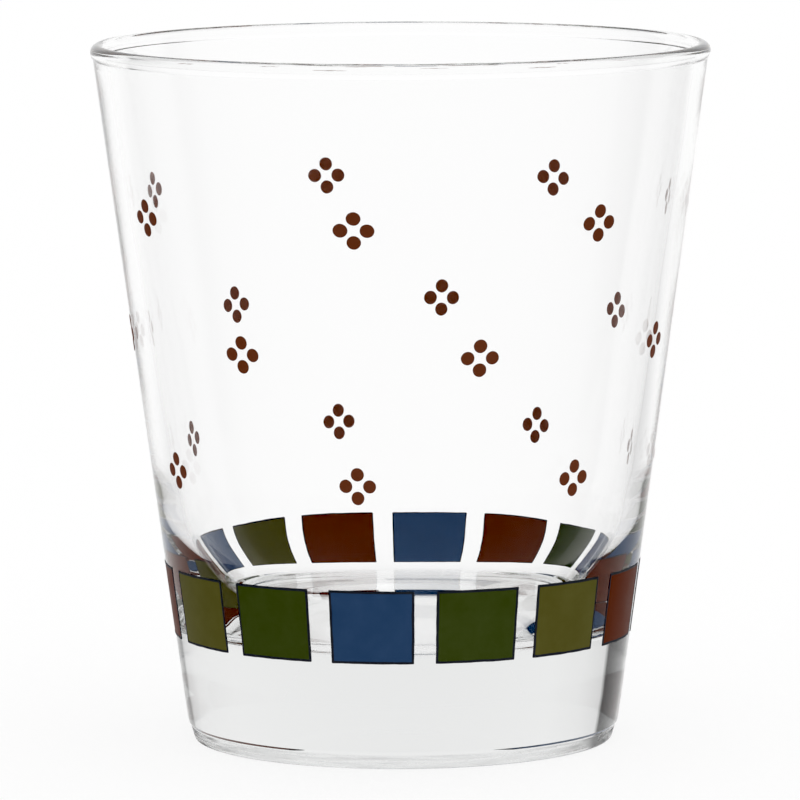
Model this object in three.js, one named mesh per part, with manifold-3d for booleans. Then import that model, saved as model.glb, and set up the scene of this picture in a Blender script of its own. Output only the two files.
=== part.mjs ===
// A heavy-based water tumbler of clear glass, decorated outside with fired enamel.
// Millimetres, +Z up. The origin is the centre of the base, on the surface the tumbler stands on.
//
// The glass is one moulded piece: a straight cone outside, a wall that thickens
// downwards inside, a sloped shoulder and a flat floor over a thick base.
// The decoration is enamel fired on the outside of the wall:
//   - a band of square tiles low on the wall, each a field of colour with its own dark outline;
//   - three rows of sprigs above it, each sprig four small dots set in a diamond.
import * as THREE from "three";
import { mergeVertices } from "three/addons/utils/BufferGeometryUtils.js";
import Module from "manifold-3d";

const wasm = await Module();
wasm.setup();

// ---------------------------------------------------------------- dimensions
const HEIGHT = 104.2; // overall height
const RIM_RADIUS = 46.0; // the outer cone carried up to the rim
const TAPER = 0.13506; // outer radius lost per mm of height, a half angle of 7.7 degrees
const LATHE_SEGMENTS = 44; // facets round the glass

const WALL_AT_RIM = 1.84; // wall thickness just under the lip, measured level
const WALL_AT_30 = 3.14; // wall thickness 30 mm up, measured level
const WALL_REF_Z = 30.0;

// inside of the cup below the straight wall: [radius, height] from the floor's centre outwards
const CAVITY_FLOOR = [
  [0.0, 16.1],
  [13.0, 16.14],
  [20.0, 16.3],
  [23.4, 16.62],
  [25.2, 17.05],
  [26.4, 17.8],
  [27.2, 18.9],
  [28.35, 20.9],
  [29.6, 23.2],
  [30.75, 25.6],
  [31.8, 28.4],
  [32.75, 31.8],
  [33.65, 36.2],
];
const CAVITY_STRAIGHT_FROM = 42.0; // height where the straight wall starts inside

// lip
const LIP_HEIGHT = 2.3; // the fire-polished bead has run out into the cone here
const LIP_MID = 44.91; // radius at the top of the lip
const BEAD_OUTSIDE = [1.205, 1.25]; // half width and half height of the bead outside
const BEAD_INSIDE = [1.06, 1.34]; // and inside
const BEAD_ANGLES = [-40, -20, 0, 30, 60, 90, 120, 150, 180]; // its facets, degrees from straight out

// heel and underside
const HEEL_HEIGHT = 2.18; // top of the heel
const HEEL_RADIUS = 31.865; // the heel's radius there
const LEDGE_OUT = 0.355; // a narrow ledge slopes out over the heel
const LEDGE_RISE = 0.41; // and up by this much
const CONE_FROM = 2.76; // the cone of the side wall starts here
const FOOT_RADIUS = 30.85; // outer edge of the ring it stands on
const FOOT_INNER = 24.6; // inner edge of that ring
const PUSH_UP = 0.9; // hollow of the underside at its centre

// enamel
const ENAMEL_GAP = 0.05; // clearance between glass and enamel
const ENAMEL_THICK = 0.08; // thickness of the fired layer

const TILE_COUNT = 14;
const TILE_PHASE = -7.485; // degrees from the front (-Y) towards +X, first tile's centre
const TILE_ANGLE = 20.48; // degrees, outline included
const TILE_BOTTOM = 15.93;
const TILE_TOP = 26.88;
const OUTLINE_WIDTH = 0.42;
const FILL_GAP = 0.06; // between a field and its outline
const TILE_STEPS = 4; // facets across a tile
const TILE_COLOURS = [
  "blue", "green", "olive", "rust", "blue", "green", "rust",
  "blue", "rust", "olive", "blue", "rust", "olive", "green",
];

const SPRIGS_PER_ROW = 7;
const SPRIG_ROWS = [
  { name: "upper", z: 80.08, phase: -9.226 },
  { name: "middle", z: 61.23, phase: 16.326 },
  { name: "lower", z: 42.45, phase: -9.881 },
];
const SPRIG_HALF_ANGLE = 2.64; // left and right dots, degrees from the sprig's centre
const SPRIG_HALF_HEIGHT = 1.75; // upper and lower dots, mm from the sprig's centre
const DOT_HALF_ANGLE = 1.45; // a dot's half width, degrees
const DOT_HALF_HEIGHT = 1.0; // a dot's half height, mm
const NECK_HALF = 0.09; // half width of the neck between neighbouring dots

// ---------------------------------------------------------------- materials
const enamel = (hex, name) =>
  new THREE.MeshStandardMaterial({ color: hex, roughness: 0.28, metalness: 0, name });
const MATERIALS = {
  glass: new THREE.MeshStandardMaterial({
    color: 0xf4f7f6, roughness: 0.03, metalness: 0, transparent: true, opacity: 0.35, name: "glass",
  }),
  blue: enamel(0x243e63, "enamel_blue"),
  green: enamel(0x2e3c0d, "enamel_green"),
  olive: enamel(0x565119, "enamel_olive"),
  rust: enamel(0x4a1a04, "enamel_rust"),
  outline: enamel(0x1d2228, "enamel_outline"),
  dots: enamel(0x4f1706, "enamel_dots"),
};

// ---------------------------------------------------------------- the glass
const outerRadius = (z) => RIM_RADIUS - TAPER * (HEIGHT - z);
const wallThickness = (z) =>
  WALL_AT_RIM + ((WALL_AT_30 - WALL_AT_RIM) * (HEIGHT - z)) / (HEIGHT - WALL_REF_Z);
const wallRadius = (z) => outerRadius(z) - wallThickness(z);

function glassProfile() {
  const p = [];
  const add = (r, z) => p.push(new THREE.Vector2(r, z));
  // underside, from the axis out to the standing ring
  add(0, PUSH_UP);
  add(14, PUSH_UP * 0.72);
  add(20.5, PUSH_UP * 0.3);
  add(FOOT_INNER, 0);
  add(FOOT_RADIUS, 0);
  // heel with its rounded lower edge, and the ledge over it
  add(31.18, 0.06);
  add(31.34, 0.26);
  add(31.63, 1.3);
  add(HEEL_RADIUS, HEEL_HEIGHT);
  add(HEEL_RADIUS + LEDGE_OUT, HEEL_HEIGHT + LEDGE_RISE);
  add(outerRadius(CONE_FROM), CONE_FROM);
  // outer cone, up to the lip
  const lip = HEIGHT - LIP_HEIGHT;
  add(outerRadius(lip), lip);
  // round bead of the lip, over the top and down the inside
  for (const degrees of BEAD_ANGLES) {
    const t = THREE.MathUtils.degToRad(degrees);
    const [wide, tall] = degrees <= 90 ? BEAD_OUTSIDE : BEAD_INSIDE;
    add(LIP_MID + wide * Math.cos(t), HEIGHT - tall + tall * Math.sin(t));
  }
  add(wallRadius(lip - 0.3), lip - 0.3);
  // straight wall, then the shoulder and the floor
  add(wallRadius(CAVITY_STRAIGHT_FROM), CAVITY_STRAIGHT_FROM);
  for (let i = CAVITY_FLOOR.length - 1; i >= 0; i--) add(...CAVITY_FLOOR[i]);
  return p;
}

// A closed profile turned about the upright axis.
function lathe(points) {
  const g = new THREE.LatheGeometry(points, LATHE_SEGMENTS);
  g.rotateX(Math.PI / 2); // the lathe turns about +Y; stand it up on +Z
  return g;
}

// ---------------------------------------------------------------- enamel
const TILT = Math.atan(TAPER);

// Lays a flat outline on the cone: x is an angle in degrees from the front,
// y a height on the wall, z the distance out from the glass.
function wrapOnCone(geometry) {
  const pos = geometry.getAttribute("position");
  for (let i = 0; i < pos.count; i++) {
    const a = THREE.MathUtils.degToRad(pos.getX(i));
    const h = pos.getY(i);
    const d = pos.getZ(i) + ENAMEL_GAP;
    const r = outerRadius(h) + d * Math.cos(TILT);
    pos.setXYZ(i, r * Math.sin(a), -r * Math.cos(a), h - d * Math.sin(TILT));
  }
  pos.needsUpdate = true;
  geometry.computeVertexNormals();
  return geometry;
}

// A closed geometry as a solid for cutting, and back.
function solidOf(geometry) {
  const g = geometry.clone();
  g.deleteAttribute("normal");
  g.deleteAttribute("uv");
  const merged = mergeVertices(g, 1e-4);
  return new wasm.Manifold(
    new wasm.Mesh({
      numProp: 3,
      vertProperties: new Float32Array(merged.attributes.position.array),
      triVerts: new Uint32Array(merged.index.array),
    }),
  );
}
function geometryOf(solid) {
  const mesh = solid.getMesh();
  const g = new THREE.BufferGeometry();
  g.setAttribute("position", new THREE.BufferAttribute(new Float32Array(mesh.vertProperties), 3));
  g.setIndex(new THREE.BufferAttribute(new Uint32Array(mesh.triVerts), 1));
  g.computeVertexNormals();
  return g;
}

const layer = (shape) =>
  wrapOnCone(new THREE.ExtrudeGeometry(shape, { depth: ENAMEL_THICK, bevelEnabled: false, curveSegments: 4 }));

const asDegrees = (mm, z) => THREE.MathUtils.radToDeg(mm / outerRadius(z));
const TILE_MID = (TILE_BOTTOM + TILE_TOP) / 2;

// A rectangle inset from the tile's edge, stepped across so that it bends with the wall.
// The steps inside it fall on the same lines as those of the whole tile.
function bentPlate(inset, inner, outer) {
  const width = TILE_ANGLE - 2 * asDegrees(inset, TILE_MID);
  const g = new THREE.BoxGeometry(width, TILE_TOP - TILE_BOTTOM - 2 * inset, outer - inner, TILE_STEPS, 1, 1);
  const pos = g.getAttribute("position");
  for (let i = 0; i < pos.count; i++) {
    const step = Math.round((pos.getX(i) / width + 0.5) * TILE_STEPS);
    if (step > 0 && step < TILE_STEPS) pos.setX(i, TILE_ANGLE * (step / TILE_STEPS - 0.5));
  }
  g.translate(0, TILE_MID, (inner + outer) / 2);
  return wrapOnCone(g);
}

const tileField = () => bentPlate(OUTLINE_WIDTH + FILL_GAP, 0, ENAMEL_THICK);

// The outline is the whole tile with its middle cut out.
const tileOutline = () =>
  geometryOf(
    solidOf(bentPlate(0, 0, ENAMEL_THICK)).subtract(solidOf(bentPlate(OUTLINE_WIDTH, -0.5, ENAMEL_THICK + 0.5))),
  );

// Four dots in a diamond, joined round three of its sides by hair-thin necks.
function sprig(z) {
  const k = THREE.MathUtils.degToRad(1) * outerRadius(z); // mm per degree
  const dots = [
    [-SPRIG_HALF_ANGLE * k, 0],
    [0, SPRIG_HALF_HEIGHT],
    [SPRIG_HALF_ANGLE * k, 0],
    [0, -SPRIG_HALF_HEIGHT],
  ];
  const a = DOT_HALF_ANGLE * k;
  const b = DOT_HALF_HEIGHT;
  const points = [];
  const toward = (i, j) => Math.atan2((dots[j][1] - dots[i][1]) / b, (dots[j][0] - dots[i][0]) / a);
  const half = NECK_HALF / Math.min(a, b);
  const arc = (i, from, to) => {
    while (to <= from) to += 2 * Math.PI;
    const n = Math.max(2, Math.round(((to - from) / (2 * Math.PI)) * 6.5));
    for (let s = 0; s <= n; s++) {
      const t = from + ((to - from) * s) / n;
      points.push(new THREE.Vector2((dots[i][0] + a * Math.cos(t)) / k, z + dots[i][1] + b * Math.sin(t)));
    }
  };
  arc(3, toward(3, 2) + half, toward(3, 2) - half);
  arc(2, toward(2, 3) + half, toward(2, 1) - half);
  arc(1, toward(1, 2) + half, toward(1, 0) - half);
  arc(0, toward(0, 1) + half, toward(0, 1) - half);
  arc(1, toward(1, 0) + half, toward(1, 2) - half);
  arc(2, toward(2, 1) + half, toward(2, 3) - half);
  return layer(new THREE.Shape(points));
}

// ---------------------------------------------------------------- assembly
const tumbler = new THREE.Group();
tumbler.name = "tumbler";

function place(parent, name, geometry, material, degrees) {
  const mesh = new THREE.Mesh(geometry, material);
  mesh.name = name;
  mesh.rotation.z = THREE.MathUtils.degToRad(degrees);
  parent.add(mesh);
  return mesh;
}

place(tumbler, "glass_body", lathe(glassProfile()), MATERIALS.glass, 0);

const tileBand = new THREE.Group();
const field = tileField();
const outline = tileOutline();
for (let i = 0; i < TILE_COUNT; i++) {
  const n = String(i + 1).padStart(2, "0");
  const at = TILE_PHASE + (i * 360) / TILE_COUNT;
  place(tileBand, `tile_field_${n}`, field, MATERIALS[TILE_COLOURS[i]], at);
  place(tileBand, `tile_outline_${n}`, outline, MATERIALS.outline, at);
}
tumbler.add(tileBand);

for (const row of SPRIG_ROWS) {
  const group = new THREE.Group();
  const dots = sprig(row.z);
  for (let i = 0; i < SPRIGS_PER_ROW; i++)
    place(group, `dot_sprig_${row.name}_${i + 1}`, dots, MATERIALS.dots, row.phase + (i * 360) / SPRIGS_PER_ROW);
  tumbler.add(group);
}

export default tumbler;
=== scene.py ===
"""A heavy-based water tumbler of clear glass with fired enamel decoration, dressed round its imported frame."""

import math

import bpy
import numpy as np
from mathutils import Matrix, Vector, noise


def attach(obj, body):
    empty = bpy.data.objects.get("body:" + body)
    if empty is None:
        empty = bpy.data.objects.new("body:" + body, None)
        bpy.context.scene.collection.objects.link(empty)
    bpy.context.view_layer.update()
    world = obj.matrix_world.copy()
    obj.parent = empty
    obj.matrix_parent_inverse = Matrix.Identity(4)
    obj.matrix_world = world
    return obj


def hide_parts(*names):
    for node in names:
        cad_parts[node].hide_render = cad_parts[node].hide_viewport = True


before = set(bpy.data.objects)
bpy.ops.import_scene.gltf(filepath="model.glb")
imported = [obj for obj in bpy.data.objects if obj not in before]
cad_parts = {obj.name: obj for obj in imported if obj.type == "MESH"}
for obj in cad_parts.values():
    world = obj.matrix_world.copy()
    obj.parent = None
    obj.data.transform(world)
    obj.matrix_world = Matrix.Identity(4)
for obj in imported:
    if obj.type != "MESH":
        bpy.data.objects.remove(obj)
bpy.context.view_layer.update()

MM = 0.001

# ---------------------------------------------------------------- dimensions, mm (as in the CAD source)
HEIGHT = 104.2
RIM_RADIUS = 46.0
TAPER = 0.13506
TILT = math.atan(TAPER)
WALL_AT_RIM, WALL_AT_30 = 1.84, 3.14
STRAIGHT_FROM = 42.0
LIP_MID = 44.91  # radius at the top of the lip
LIP_OUT, LIP_IN = (1.2, 1.25), (1.06, 1.34)  # half width and half height of the lip's bead, outside and inside

TILE_COUNT = 14
TILE_PHASE = -7.485
TILE_ANGLE = 20.48
TILE_BOTTOM, TILE_TOP = 15.93, 26.88
OUTLINE = 0.42
TILE_COLOURS = ("blue green olive rust blue green rust "
                "blue rust olive blue rust olive green").split()

SPRIG_ROWS = (("upper", 80.08, -9.226), ("middle", 61.23, 16.326), ("lower", 42.45, -9.881))
SPRIG_DX, SPRIG_DZ = 2.64, 1.75  # degrees, mm
DOT_DX, DOT_DZ = 1.45, 1.0


def r_out(z):
    return RIM_RADIUS - TAPER * (HEIGHT - z)


def r_wall(z):
    t = WALL_AT_RIM + (WALL_AT_30 - WALL_AT_RIM) * (HEIGHT - z) / (HEIGHT - 30.0)
    return r_out(z) - t


# ---------------------------------------------------------------- small tools
def spline(points, count, start=None, end=None):
    """Cubic spline through points by chord length, with the end directions given or free."""
    p = np.array(points, float)
    step = np.linalg.norm(np.diff(p, axis=0), axis=1)
    t = np.concatenate([[0], np.cumsum(step)])
    n = len(p)
    a = np.zeros((n, n))
    b = np.zeros((n, 2))
    for i in range(1, n - 1):
        h0, h1 = step[i - 1], step[i]
        a[i, i - 1], a[i, i], a[i, i + 1] = h1, 2 * (h0 + h1), h0
        b[i] = 3 * (h1 * (p[i] - p[i - 1]) / h0 + h0 * (p[i + 1] - p[i]) / h1)
    for i, d, j in ((0, start, 1), (n - 1, end, n - 2)):
        a[i, i] = 1
        if d is None:
            a[i, j] = 1
            b[i] = 2 * (p[max(i, j)] - p[min(i, j)]) / step[min(i, j)]
        else:
            b[i] = np.array(d, float) / np.linalg.norm(d)
    m = np.linalg.solve(a, b)
    out = []
    for x in np.linspace(0, t[-1], count):
        i = min(max(int(np.searchsorted(t, x) - 1), 0), n - 2)
        h = step[i]
        u = (x - t[i]) / h
        out.append((2 * u**3 - 3 * u**2 + 1) * p[i] + (u**3 - 2 * u**2 + u) * h * m[i]
                   + (-2 * u**3 + 3 * u**2) * p[i + 1] + (u**3 - u**2) * h * m[i + 1])
    return [tuple(q) for q in out]


def straight(p, q, count):
    return [(p[0] + (q[0] - p[0]) * i / count, p[1] + (q[1] - p[1]) * i / count) for i in range(1, count + 1)]


def make_object(name, verts_mm, faces, materials, face_material=None, smooth=True):
    mesh = bpy.data.meshes.new(name)
    mesh.from_pydata([(x * MM, y * MM, z * MM) for x, y, z in verts_mm], [], faces)
    for m in materials:
        mesh.materials.append(m)
    if face_material is not None:
        mesh.polygons.foreach_set("material_index", face_material)
    mesh.polygons.foreach_set("use_smooth", [smooth] * len(mesh.polygons))
    mesh.validate()
    mesh.update()
    obj = bpy.data.objects.new(name, mesh)
    bpy.context.scene.collection.objects.link(obj)
    return obj


def on_cone(deg, h, d):
    """A point at an angle from the front, a height on the wall and a distance out from the glass."""
    a = math.radians(deg)
    r = r_out(h) + d * math.cos(TILT)
    return (r * math.sin(a), -r * math.cos(a), h - d * math.sin(TILT))


def wobble(x, y, seed, scale):
    return noise.noise(Vector((x * scale, y * scale, seed * 7.31)))


# ---------------------------------------------------------------- materials
def new_material(name):
    m = bpy.data.materials.new(name)
    m.use_nodes = True
    nt = m.node_tree
    nt.nodes.clear()
    out = nt.nodes.new("ShaderNodeOutputMaterial")
    p = nt.nodes.new("ShaderNodeBsdfPrincipled")
    nt.links.new(p.outputs["BSDF"], out.inputs["Surface"])
    return m, nt, p, out


def node(nt, kind, **values):
    n = nt.nodes.new(kind)
    for k, v in values.items():
        if k in n.inputs:
            n.inputs[k].default_value = v
        else:
            setattr(n, k, v)
    return n


def ramp(nt, source, stops):
    n = nt.nodes.new("ShaderNodeValToRGB")
    el = n.color_ramp.elements
    while len(el) < len(stops):
        el.new(0.5)
    for e, (pos, col) in zip(el, stops):
        e.position = pos
        e.color = col if len(col) == 4 else (*col, 1)
    nt.links.new(source, n.inputs["Fac"])
    return n


def grey(v):
    return (v, v, v, 1)


def span(nt, source, lo, hi, a, b):
    """A smooth step from a at lo to b at hi."""
    n = node(nt, "ShaderNodeMapRange", interpolation_type="SMOOTHSTEP")
    for k, v in zip(("From Min", "From Max", "To Min", "To Max"), (lo, hi, a, b)):
        n.inputs[k].default_value = v
    nt.links.new(source, n.inputs["Value"])
    return n.outputs["Result"]


def product(nt, a, b):
    n = node(nt, "ShaderNodeMath", operation="MULTIPLY")
    for i, v in enumerate((a, b)):
        if isinstance(v, float):
            n.inputs[i].default_value = v
        else:
            nt.links.new(v, n.inputs[i])
    return n.outputs[0]


def glass_material():
    m, nt, p, out = new_material("clear_glass")
    p.inputs["Transmission Weight"].default_value = 1.0
    p.inputs["IOR"].default_value = 1.52
    p.inputs["Specular Tint"].default_value = grey(0.12)
    p.inputs["Base Color"].default_value = grey(1.0)
    co = node(nt, "ShaderNodeTexCoord")
    # faint handling marks: a little haze in broad soft patches
    smear = node(nt, "ShaderNodeTexNoise", Scale=95.0, Detail=4.0, Roughness=0.6)
    nt.links.new(co.outputs["Object"], smear.inputs["Vector"])
    haze = ramp(nt, smear.outputs["Fac"], [(0.45, grey(0.0)), (0.8, grey(0.035))])
    # the heel below the ledge is scuffed in long streaks from standing and sliding, more toward the front; the same
    # streaks also darken its colour below, as painted shade
    xyz = node(nt, "ShaderNodeSeparateXYZ")
    nt.links.new(co.outputs["Object"], xyz.inputs["Vector"])
    flat = node(nt, "ShaderNodeVectorMath", operation="MULTIPLY")
    flat.inputs[1].default_value = (1, 1, 0)
    nt.links.new(co.outputs["Object"], flat.inputs[0])
    reach = node(nt, "ShaderNodeVectorMath", operation="LENGTH")
    nt.links.new(flat.outputs["Vector"], reach.inputs[0])
    below = span(nt, xyz.outputs["Z"], 0.0019, 0.00222, 1.0, 0.0)
    beyond = span(nt, reach.outputs["Value"], 0.0303, 0.0309, 0.0, 1.0)
    heel = product(nt, product(nt, below, beyond), span(nt, xyz.outputs["Y"], 0.0, 0.012, 1.0, 0.12))
    long = node(nt, "ShaderNodeVectorMath", operation="MULTIPLY")
    long.inputs[1].default_value = (130, 130, 2300)
    nt.links.new(co.outputs["Object"], long.inputs[0])
    streak = node(nt, "ShaderNodeTexNoise", Scale=1.0, Detail=3.0, Roughness=0.6)
    nt.links.new(long.outputs["Vector"], streak.inputs["Vector"])
    scuff = ramp(nt, streak.outputs["Fac"], [(0.34, grey(0.14)), (0.52, grey(0.34)), (0.68, grey(0.56))])
    rough = node(nt, "ShaderNodeMath", operation="MAXIMUM")
    nt.links.new(haze.outputs["Color"], rough.inputs[0])
    nt.links.new(product(nt, heel, scuff.outputs["Color"]), rough.inputs[1])
    nt.links.new(rough.outputs[0], p.inputs["Roughness"])
    # sparse seeds and specks
    cells = node(nt, "ShaderNodeTexVoronoi", Scale=210.0)
    nt.links.new(co.outputs["Object"], cells.inputs["Vector"])
    pick = ramp(nt, cells.outputs["Color"], [(0.0, grey(1.0)), (0.035, grey(0.0))])
    spot = ramp(nt, cells.outputs["Distance"], [(0.03, grey(1.0)), (0.075, grey(0.0))])
    both = node(nt, "ShaderNodeMath", operation="MULTIPLY")
    nt.links.new(pick.outputs["Color"], both.inputs[0])
    nt.links.new(spot.outputs["Color"], both.inputs[1])
    # painted shade: the heel's streaks darken the glass's colour at its foot, heavier toward the front
    heel_painted_shade = product(nt, heel, ramp(nt, streak.outputs["Fac"], [(0.34, grey(0.14)), (0.68, grey(0.52))]).outputs["Color"])
    marks = node(nt, "ShaderNodeMath", operation="MAXIMUM")
    nt.links.new(both.outputs[0], marks.inputs[0])
    nt.links.new(heel_painted_shade, marks.inputs[1])
    # the specks are the glass's own; the darkening at the heel is painted shade
    tint = ramp(nt, marks.outputs[0], [(0.0, grey(1.0)), (1.0, grey(0.62))])
    nt.links.new(tint.outputs["Color"], p.inputs["Base Color"])
    # slow ripple of fire-polished glass
    ripple = node(nt, "ShaderNodeTexNoise", Scale=60.0, Detail=1.0)
    nt.links.new(co.outputs["Object"], ripple.inputs["Vector"])
    bump = node(nt, "ShaderNodeBump", Strength=0.06, Distance=0.0006)
    nt.links.new(ripple.outputs["Fac"], bump.inputs["Height"])
    nt.links.new(bump.outputs["Normal"], p.inputs["Normal"])
    vol = node(nt, "ShaderNodeVolumeAbsorption", Color=(0.695, 0.705, 0.70, 1.0), Density=10.0)
    nt.links.new(vol.outputs["Volume"], out.inputs["Volume"])
    return m


def enamel_material(name, colour, bonded=False):
    """Fired enamel. The bonded face is the one fused to the glass, seen through it."""
    m, nt, p, out = new_material(name)
    co = node(nt, "ShaderNodeTexCoord")
    cloud = node(nt, "ShaderNodeTexNoise", Scale=260.0, Detail=5.0, Roughness=0.62)
    grain = node(nt, "ShaderNodeTexNoise", Scale=2600.0, Detail=3.0, Roughness=0.7)
    for n in (cloud, grain):
        nt.links.new(co.outputs["Object"], n.inputs["Vector"])
    c = np.array(colour)
    tone = ramp(nt, cloud.outputs["Fac"], [(0.25, tuple(c * 0.94)), (0.5, tuple(c)), (0.75, tuple(c * 1.06))])
    nt.links.new(tone.outputs["Color"], p.inputs["Base Color"])
    if bonded:
        p.inputs["Specular IOR Level"].default_value = 0.0
        p.inputs["Roughness"].default_value = 0.6
    else:
        p.inputs["Specular IOR Level"].default_value = 0.022
        shine = ramp(nt, cloud.outputs["Fac"], [(0.3, grey(0.36)), (0.75, grey(0.46))])
        nt.links.new(shine.outputs["Color"], p.inputs["Roughness"])
        bump = node(nt, "ShaderNodeBump", Strength=0.06, Distance=0.00002)
        nt.links.new(grain.outputs["Fac"], bump.inputs["Height"])
        nt.links.new(bump.outputs["Normal"], p.inputs["Normal"])
    return m


ENAMELS = {
    "blue": (0.074, 0.108, 0.184),
    "green": (0.090, 0.107, 0.0595),
    "olive": (0.141, 0.135, 0.0665),
    "rust": (0.138, 0.0600, 0.0460),
    "outline": (0.066, 0.068, 0.075),
    "dots": (0.194, 0.0905, 0.0685),
}
# the face fused to the glass, seen through it, uses a brightened copy of each enamel: painted light standing in for
# light this face gets less of; blue and rust are lifted most
BOND_PAINTED_LIGHT = {"blue": 2.15, "green": 1.45, "olive": 1.5, "rust": 2.1, "outline": 1.4, "dots": 1.65}
GLASS = glass_material()
FACE = {k: enamel_material("enamel_" + k, v) for k, v in ENAMELS.items()}
# painted light: the inner faces get the brightened copies of each enamel
BOND = {k: enamel_material("enamel_%s_through_glass" % k, np.array(v) * BOND_PAINTED_LIGHT[k], bonded=True) for k, v in ENAMELS.items()}


# ---------------------------------------------------------------- the glass
def glass_profile():
    """[radius, height, is_inside] round the section, from the middle of the underside to the middle of the floor."""
    under = [(24.6 * i / 26, 0.9 * (1 - (i / 26) ** 2.3) ** 1.15) for i in range(27)]
    foot = straight(under[-1], (30.85, 0.0), 6)
    heel = spline([(30.85, 0.0), (31.18, 0.06), (31.34, 0.26), (31.45, 0.62), (31.63, 1.3), (31.79, 1.9), (31.865, 2.18)], 24, (1, 0), (0.28, 1))[1:]
    ledge = [(31.877, 2.208), (31.902, 2.236)] + straight((31.902, 2.236), (32.215, 2.586), 6) + [(32.243, 2.625), (32.264, 2.676)]
    ledge += [(r_out(2.76), 2.76)]
    h = HEIGHT
    z0 = h - 3.1
    cone = straight((r_out(2.76), 2.76), (r_out(z0), z0), 26)
    # the fire-polished lip is a round bead that swells outward over a small neck and runs nearly straight inside
    def bead(z, wide, tall):
        u = (z - (h - tall)) / tall
        return wide * math.sqrt(1 - u * u) if abs(u) < 1 else -9.0

    def melt(p, q):
        t = max(0.0, 1 - abs(p - q) / 0.15)
        return max(p, q) + t ** 3 * 0.15 / 6

    steps = [h - 2.9 + 0.12 * i for i in range(20)]
    lip = [(r_out(z0), z0)]
    lip += [(melt(r_out(z), LIP_MID + bead(z, *LIP_OUT)), z) for z in steps if z < h - LIP_OUT[1] - 0.06]
    for a in range(0, 181, 12):
        c, d = math.cos(math.radians(a)), math.sin(math.radians(a))
        wide, tall = LIP_OUT if c > 0 else LIP_IN
        lip.append((LIP_MID + wide * c, h - tall + tall * d))
    lip += [(-melt(-r_wall(z), bead(z, *LIP_IN) - LIP_MID), z) for z in reversed(steps) if z < h - LIP_IN[1] - 0.06]
    lip.append((r_wall(h - 3.3), h - 3.3))
    lip = spline(lip, 96, (TAPER, 1), (-0.12, -1))[1:]
    zs = STRAIGHT_FROM
    wall = straight((r_wall(h - 3.3), h - 3.3), (r_wall(zs), zs), 24)
    slope = (r_wall(h - 3.3) - r_wall(zs)) / (h - 3.3 - zs)
    cup = spline([
        (r_wall(zs), zs), (33.62, 36.2), (32.75, 31.8), (31.78, 28.4), (30.72, 25.6), (29.58, 23.2), (28.35, 20.9),
        (27.2, 18.95), (26.38, 17.8), (25.2, 17.05), (23.4, 16.62), (20.0, 16.3), (13.0, 16.14), (0.0, 16.1)],
        90, (-slope, -1), (-1, 0))[1:]
    section = [(r, z, 0.0) for r, z in under + foot + heel + ledge + cone + lip]
    section += [(r, z, 1.0) for r, z in wall + cup]
    return section


def build_glass(segments=320):
    section = glass_profile()
    verts, faces = [], []
    rows = []
    for k, (r, z, inside) in enumerate(section):
        if r < 1e-6:
            rows.append([len(verts)])
            verts.append((0.0, 0.0, z))
            continue
        row = []
        # the plunger leaves the inside a little uneven; it fades out at the lip and on the floor
        amount = inside * min(1.0, (HEIGHT - 6 - z) / 12) * min(1.0, r / 24.0) if inside else 0.0
        shoulder = inside * max(0.0, 1 - abs(z - 19.2) / 5.5) * max(0.0, min(1.0, (r - 19.0) / 4.0))
        heel = max(0.0, min(1.0, z / 0.4)) * max(0.0, min(1.0, (2.1 - z) / 0.5)) if not inside and r > 30 else 0.0
        # the ledge runs out toward the back, where the base plate of the mould sat flush with the body
        flush = max(0.0, r_out(z) - 0.06 - r) if not inside and r > 31.3 and 0.4 < z < 2.76 else 0.0
        for j in range(segments):
            a = 2 * math.pi * j / segments
            rr, zz = r, z
            cx, cy = math.cos(a), math.sin(a)
            if amount > 0:
                rr += amount * 0.035 * noise.noise(Vector((cx * r * 0.075, cy * r * 0.075, z * 0.05)))
            if shoulder > 0:
                # chill ripples, long round the cup and short up it
                w = noise.noise(Vector((cx * 4.2, cy * 4.2, z * 0.9 + r * 0.35)))
                w += 0.5 * noise.noise(Vector((cx * 11.0 + 5, cy * 11.0, z * 1.7 + r * 0.6)))
                rr += shoulder * 0.030 * w
                zz += shoulder * 0.022 * w
            if flush > 0:
                t = max(0.0, min(1.0, (cy + 0.15) / 0.55))
                rr += flush * min(1.0, (z - 0.4) / 1.2) * t * t * (3 - 2 * t)
            if heel > 0:
                w = noise.noise(Vector((cx * 7.0, cy * 7.0, z * 1.3)))
                rr += heel * (0.010 * w - 0.008)
            row.append(len(verts))
            verts.append((rr * cx, rr * cy, zz))
        rows.append(row)
    for a, b in zip(rows, rows[1:]):
        for j in range(segments):
            k = (j + 1) % segments
            if len(a) == 1:
                faces.append((a[0], b[k], b[j]))
            elif len(b) == 1:
                faces.append((a[j], a[k], b[0]))
            else:
                faces.append((a[j], a[k], b[k], b[j]))
    return make_object("tumbler_glass", verts, faces, [GLASS])


glass = build_glass()
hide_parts("glass_body")
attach(glass, "root")


# ---------------------------------------------------------------- enamel tiles
FIELD_SINK, OUTLINE_SINK, DOT_SINK = 0.022, 0.012, 0.022  # how deep each layer is fused into the glass
FIELD_RISE, OUTLINE_RISE, DOT_RISE = 0.05, 0.085, 0.085


def rounded_rect(a, b, radius, side, corner):
    """Points round a rectangle of half sides a and b, counter-clockwise from the middle of the right side's start."""
    pts = []
    for q, (cx, cy) in enumerate(((a - radius, b - radius), (-a + radius, b - radius), (-a + radius, -b + radius), (a - radius, -b + radius))):
        start = q * math.pi / 2
        for i in range(corner + 1):
            t = start + math.pi / 2 * i / corner
            pts.append((cx + radius * math.cos(t), cy + radius * math.sin(t)))
        nx, ny = ((-a + radius, b), (-a, -b + radius), (a - radius, -b), (a, b - radius))[q]
        px, py = pts[-1]
        for i in range(1, side):
            pts.append((px + (nx - px) * i / side, py + (ny - py) * i / side))
    return pts


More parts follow.
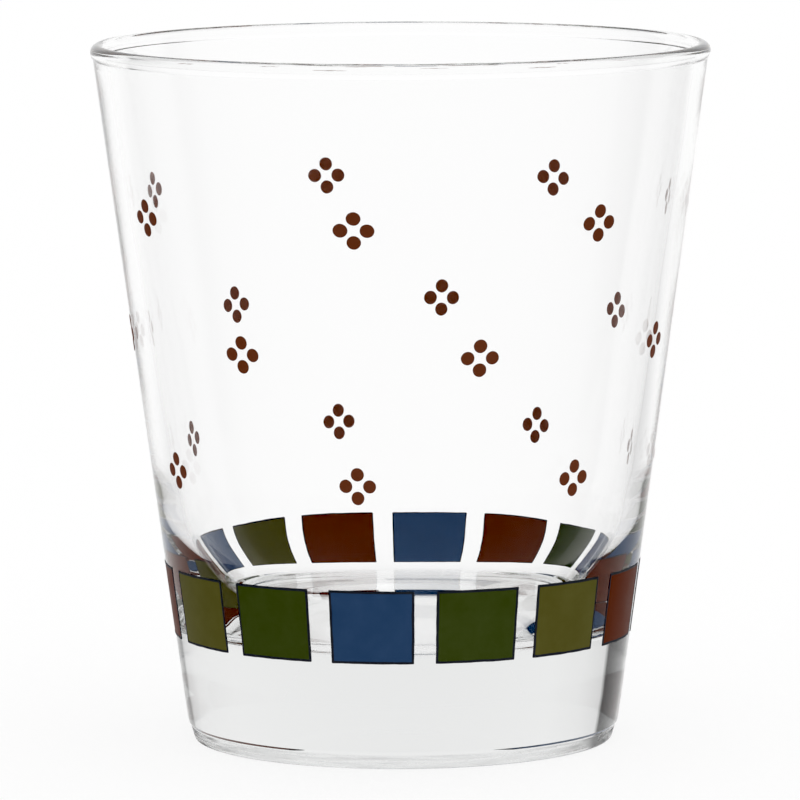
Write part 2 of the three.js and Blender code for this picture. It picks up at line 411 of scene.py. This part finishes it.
def ring_layers(name, rings, sink, materials, angle, z_mid, close_middle):
    """Joins rings of (x mm, y mm, rise mm) from the outer edge inwards into a closed enamel layer on the wall.
    x runs along the wall at the middle height, so that the print widens with the glass."""
    k = math.degrees(1 / r_out(z_mid))
    verts, faces, mats = [], [], []
    count = len(rings[0])

    def put(ring, depth=None):
        base = len(verts)
        for x, y, rise in ring:
            verts.append(on_cone(angle + x * k, z_mid + y, rise if depth is None else depth))
        return base

    tops = [put(r) for r in rings]
    bottoms = [put(r, -sink) for r in (rings[0], rings[-1])] if not close_middle else [put(r, -sink) for r in rings]

    def band(a, b, mat, flip=False):
        for i in range(count):
            j = (i + 1) % count
            f = (a + i, a + j, b + j, b + i)
            faces.append(tuple(reversed(f)) if flip else f)
            mats.append(mat)

    for a, b in zip(tops, tops[1:]):
        band(a, b, 0)
    band(bottoms[0], tops[0], 0)
    if close_middle:
        for a, b in zip(bottoms, bottoms[1:]):
            band(a, b, 1, True)
        for ring, mat, flip in ((tops[-1], 0, False), (bottoms[-1], 1, True)):
            cx = sum(p[0] for p in rings[-1]) / count
            cy = sum(p[1] for p in rings[-1]) / count
            c = len(verts)
            verts.append(on_cone(angle + cx * k, z_mid + cy, rings[-1][0][2] if mat == 0 else -sink))
            for i in range(count):
                j = (i + 1) % count
                faces.append((ring + j, ring + i, c) if flip else (ring + i, ring + j, c))
                mats.append(mat)
    else:
        band(bottoms[0], bottoms[1], 1, True)
        band(tops[-1], bottoms[1], 0)
    return make_object(name, verts, faces, materials, mats)


def tile(index):
    n = "%02d" % (index + 1)
    angle = TILE_PHASE + index * 360 / TILE_COUNT
    z_mid = (TILE_BOTTOM + TILE_TOP) / 2
    a = math.radians(TILE_ANGLE / 2) * r_out(z_mid)
    b = (TILE_TOP - TILE_BOTTOM) / 2
    colour = TILE_COLOURS[index]

    def uneven(x, y, seed, size):
        return size * (wobble(x, y, seed, 0.55) + 0.5 * wobble(x, y, seed + 3, 1.9))

    # outline: its two edges wander a little, as a printed line does
    rings = []
    steps = 8
    outer = rounded_rect(a, b, 0.16, 44, 6)
    inner = rounded_rect(a - OUTLINE, b - OUTLINE, 0.10, 44, 6)
    for s in range(steps + 1):
        t = s / steps
        rise = OUTLINE_RISE * math.sqrt(max(0.0, 1 - abs(2 * t - 1) ** 2.6))
        if t == 0:
            rise = 0.004
        if t == 1:
            rise = FIELD_RISE * 0.7
        ring = []
        for (x0, y0), (x1, y1) in zip(outer, inner):
            w0 = uneven(x0, y0, index * 11 + 1, 0.045)
            w1 = uneven(x1, y1, index * 11 + 5, 0.07)
            px0, py0 = x0 * (1 - w0 / a), y0 * (1 - w0 / b)
            px1, py1 = x1 * (1 - w1 / a), y1 * (1 - w1 / b)
            ring.append((px0 + (px1 - px0) * t, py0 + (py1 - py0) * t, rise))
        rings.append(ring)
    outline = ring_layers("enamel_outline_" + n, rings, OUTLINE_SINK, [FACE["outline"], BOND["outline"]], angle, z_mid, False)
    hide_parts("tile_outline_" + n)
    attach(outline, "root")

    # field: printed first, a little smaller than the outline's outside, slightly off register
    ox, oy = 0.06 * wobble(index, 1.7, 21, 1.3), 0.06 * wobble(index, 4.1, 22, 1.3)
    rings = []
    inset = OUTLINE * 0.5
    for shrink, rise in ((0.0, 0.003), (0.03, 0.022), (0.08, 0.04), (0.16, 0.05), (0.6, 0.05)):
        edge = rounded_rect(a - inset - shrink, b - inset - shrink, 0.14, 44, 6)
        ring = []
        for x, y in edge:
            w = uneven(x, y, index * 13 + 2, 0.06)
            ring.append((x * (1 - w / a) + ox, y * (1 - w / b) + oy, rise))
        rings.append(ring)
    for scale in (0.82, 0.66, 0.5, 0.34, 0.18):
        base = rings[4]
        rings.append([(ox + (x - ox) * scale, oy + (y - oy) * scale, 0.05) for x, y, _ in base])
    field = ring_layers("enamel_tile_" + n, rings, FIELD_SINK, [FACE[colour], BOND[colour]], angle, z_mid, True)
    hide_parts("tile_field_" + n)
    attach(field, "root")


for i in range(TILE_COUNT):
    tile(i)


# ---------------------------------------------------------------- enamel dots
def sprig(row, z, angle, number, seed):
    k = math.degrees(1 / r_out(z))
    verts, faces, mats = [], [], []
    count = 36
    for d, (dx, dz) in enumerate(((-SPRIG_DX / k, 0), (0, SPRIG_DZ), (SPRIG_DX / k, 0), (0, -SPRIG_DZ))):
        sx = 0.04 * wobble(d, seed, 31, 1.7)
        sz = 0.04 * wobble(d, seed, 32, 1.7)
        grow = 1 + 0.035 * wobble(d, seed, 33, 1.7)
        rings = ((1.0, 0.004), (0.975, 0.03), (0.92, 0.055), (0.8, 0.073), (0.55, 0.083), (0.28, 0.085))
        tops, bottoms = [], []
        for f, rise in rings:
            for store, depth in ((tops, rise), (bottoms, -DOT_SINK)):
                store.append(len(verts))
                for i in range(count):
                    t = 2 * math.pi * i / count
                    w = 1 + 0.025 * wobble(math.cos(t) + d * 3, math.sin(t) + seed, 34, 1.5)
                    x = dx + sx + DOT_DX / k * grow * f * w * math.cos(t)
                    y = dz + sz + DOT_DZ * grow * f * w * math.sin(t)
                    verts.append(on_cone(angle + x * k, z + y, depth))

        def band(p, q, mat, flip=False):
            for i in range(count):
                j = (i + 1) % count
                f = (p + i, p + j, q + j, q + i)
                faces.append(tuple(reversed(f)) if flip else f)
                mats.append(mat)

        for p, q in zip(tops, tops[1:]):
            band(p, q, 0)
        band(bottoms[0], tops[0], 0)
        for p, q in zip(bottoms, bottoms[1:]):
            band(p, q, 1, True)
        for ring, mat, flip, depth in ((tops[-1], 0, False, DOT_RISE), (bottoms[-1], 1, True, -DOT_SINK)):
            c = len(verts)
            verts.append(on_cone(angle + (dx + sx) * k, z + dz + sz, depth))
            for i in range(count):
                j = (i + 1) % count
                faces.append((ring + j, ring + i, c) if flip else (ring + i, ring + j, c))
                mats.append(mat)
    obj = make_object("enamel_sprig_%s_%d" % (row, number), verts, faces, [FACE["dots"], BOND["dots"]], mats)
    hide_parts("dot_sprig_%s_%d" % (row, number))
    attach(obj, "root")


for r, (row, z, phase) in enumerate(SPRIG_ROWS):
    for i in range(7):
        sprig(row, z, phase + i * 360 / 7, i + 1, r * 10 + i)


# ---------------------------------------------------------------- stage
PAINTED_POOL_GLOW = 0.832  # painted light: the floor's glow at the heart of its painted pool; with what it reflects, this makes the floor as bright as the tent behind it
# painted shade: the glow left where the floor falls off beside and in front of the glass
PAINTED_SHADE_GLOW = 0.55
FAN, SKEW = 0.9, 0.2  # the painted pool's fan opens wider on the left


def build_floor():
    mesh = bpy.data.meshes.new("floor")
    count, radius = 96, 6.0
    verts = [(0, 0, 0)] + [(radius * math.cos(2 * math.pi * i / count), radius * math.sin(2 * math.pi * i / count), 0) for i in range(count)]
    mesh.from_pydata(verts, [], [(0, i + 1, (i + 1) % count + 1) for i in range(count)])
    m, nt, p, out = new_material("pale_floor")
    p.inputs["Base Color"].default_value = grey(0.18)
    p.inputs["Roughness"].default_value = 0.7
    p.inputs["Specular IOR Level"].default_value = 0.0
    p.inputs["Emission Color"].default_value = grey(1.0)
    # painted light on the floor: its glow is a painted pool under the glass and in a fan behind it, with painted
    # shade falling off to the sides and the front
    co = node(nt, "ShaderNodeTexCoord")
    xyz = node(nt, "ShaderNodeSeparateXYZ")
    nt.links.new(co.outputs["Object"], xyz.inputs["Vector"])
    aside = node(nt, "ShaderNodeMath", operation="ABSOLUTE")
    nt.links.new(xyz.outputs["X"], aside.inputs[0])
    behind = node(nt, "ShaderNodeMath", operation="MULTIPLY_ADD")
    behind.inputs[1].default_value = -FAN
    nt.links.new(aside.outputs[0], behind.inputs[0])
    nt.links.new(xyz.outputs["Y"], behind.inputs[2])
    skew = node(nt, "ShaderNodeMath", operation="MULTIPLY_ADD")
    skew.inputs[1].default_value = -SKEW
    nt.links.new(xyz.outputs["X"], skew.inputs[0])
    nt.links.new(behind.outputs[0], skew.inputs[2])
    lit = node(nt, "ShaderNodeMath", operation="MAXIMUM")
    nt.links.new(span(nt, skew.outputs[0], -0.06, 0.10, 0.0, 1.0), lit.inputs[0])
    # a painted strip of light close beside the glass, with painted shade further out to the sides
    strip = node(nt, "ShaderNodeMath", operation="MULTIPLY_ADD")
    strip.inputs[1].default_value = -0.054
    nt.links.new(xyz.outputs["Y"], strip.inputs[0])
    nt.links.new(aside.outputs[0], strip.inputs[2])
    nt.links.new(span(nt, strip.outputs[0], 0.064, 0.125, 1.0, 0.0), lit.inputs[1])
    lit = product(nt, lit.outputs[0], span(nt, xyz.outputs["Y"], -0.26, -0.075, 0.0, 1.0))
    glow = span(nt, lit, 0.0, 1.0, PAINTED_SHADE_GLOW, PAINTED_POOL_GLOW)
    glow.node.interpolation_type = "LINEAR"
    nt.links.new(glow, p.inputs["Emission Strength"])
    mesh.materials.append(m)
    obj = bpy.data.objects.new("floor", mesh)
    obj.location = (0, 0, -0.00002)
    bpy.context.scene.collection.objects.link(obj)
    return obj


build_floor()

world = bpy.data.worlds.new("studio")
bpy.context.scene.world = world
world.use_nodes = True
wnt = world.node_tree
wnt.nodes.clear()
w_out = node(wnt, "ShaderNodeOutputWorld")
w_bg = node(wnt, "ShaderNodeBackground")
w_bg.inputs["Strength"].default_value = 1.0
w_dir = node(wnt, "ShaderNodeTexCoord")
w_xyz = node(wnt, "ShaderNodeSeparateXYZ")
wnt.links.new(w_dir.outputs["Generated"], w_xyz.inputs["Vector"])


def mixed(a, b, t):
    """a where t is 0, b where it is 1."""
    n = node(wnt, "ShaderNodeMix", data_type="FLOAT")
    for i, v in ((2, a), (3, b), (0, t)):
        if isinstance(v, float):
            n.inputs[i].default_value = v
        else:
            wnt.links.new(v, n.inputs[i])
    return n.outputs[0]


# a light tent: bright overhead and where the sweep rises behind, dimmer toward the sides and the open front, the key
# from the front right, and a tall black card at each side that draws the edges of the glass; degrees are from the
# front, positive to the right
LOW = ((-180, 1.0), (-150, 1.0), (-138, 0.94), (-127, 0.82), (-122, 0.55), (-118, 0.34), (-100, 0.32), (-90, 0.32), (-60, 0.34), (-30, 0.40),
       (0, 0.46), (30, 0.54), (60, 0.52), (80, 0.40), (93, 0.36), (104, 0.44), (111, 0.82), (120, 0.95), (143, 1.0), (180, 1.0))
CARDS = ((-126, 0), (-124, 1), (-103.5, 1), (-101.5, 0), (92.5, 0), (94.5, 1), (106.5, 1), (108.5, 0))
TENT_TOP, TENT_KEY, CARD = 1.03, 1.36, 0.03
turn = node(wnt, "ShaderNodeMath", operation="ARCTAN2")
wnt.links.new(w_xyz.outputs["X"], turn.inputs[0])
wnt.links.new(product(wnt, w_xyz.outputs["Y"], -1.0), turn.inputs[1])
around = span(wnt, turn.outputs[0], -math.pi, math.pi, 0.0, 1.0)
around.node.interpolation_type = "LINEAR"
low = ramp(wnt, around, [(0.5 + a / 360, grey(v)) for a, v in LOW])
key = node(wnt, "ShaderNodeVectorMath", operation="DOT_PRODUCT")
key.inputs[1].default_value = (0.52, -0.854, 0)
wnt.links.new(w_dir.outputs["Generated"], key.inputs[0])
high = span(wnt, key.outputs["Value"], -0.05, 0.7, TENT_TOP, TENT_KEY)
forward = span(wnt, w_xyz.outputs["Y"], 0.25, 0.85, 1.0, 0.0)
rise = mixed(span(wnt, w_xyz.outputs["Z"], 0.08, 0.45, 0.0, 1.0), span(wnt, w_xyz.outputs["Z"], 0.40, 0.78, 0.0, 1.0), forward)
level = mixed(low.outputs["Color"], high, rise)
card = ramp(wnt, around, [(0.5 + a / 360, grey(v)) for a, v in CARDS])
level = mixed(level, CARD, product(wnt, card.outputs["Color"], span(wnt, w_xyz.outputs["Z"], 0.40, 0.60, 1.0, 0.0)))
wnt.links.new(level, w_bg.inputs["Color"])
wnt.links.new(w_bg.outputs["Background"], w_out.inputs["Surface"])

# ---------------------------------------------------------------- camera
cam = bpy.data.cameras.new("camera")
cam.sensor_width = 36.0
cam.lens = 331.7
cam.clip_start, cam.clip_end = 0.05, 50.0
cam_obj = bpy.data.objects.new("camera", cam)
bpy.context.scene.collection.objects.link(cam_obj)
aim = (Matrix.Rotation(math.radians(0.0146), 4, "Z")
       @ Matrix.Rotation(math.radians(90 - 6.816), 4, "X")
       @ Matrix.Rotation(math.radians(-0.253), 4, "Z"))
cam_obj.matrix_world = Matrix.Translation((0.0, -1.0940, 0.18137)) @ aim
bpy.context.scene.camera = cam_obj

scene = bpy.context.scene
scene.view_settings.view_transform = "Standard"
scene.view_settings.look = "None"
scene.view_settings.use_curve_mapping = True
scene.view_settings.curve_mapping.black_level = (0.045, 0.045, 0.045)
scene.view_settings.curve_mapping.update()
scene.cycles.max_bounces = 256
scene.cycles.transmission_bounces = 256
scene.cycles.glossy_bounces = 256
scene.cycles.diffuse_bounces = 4

bpy.context.view_layer.update()
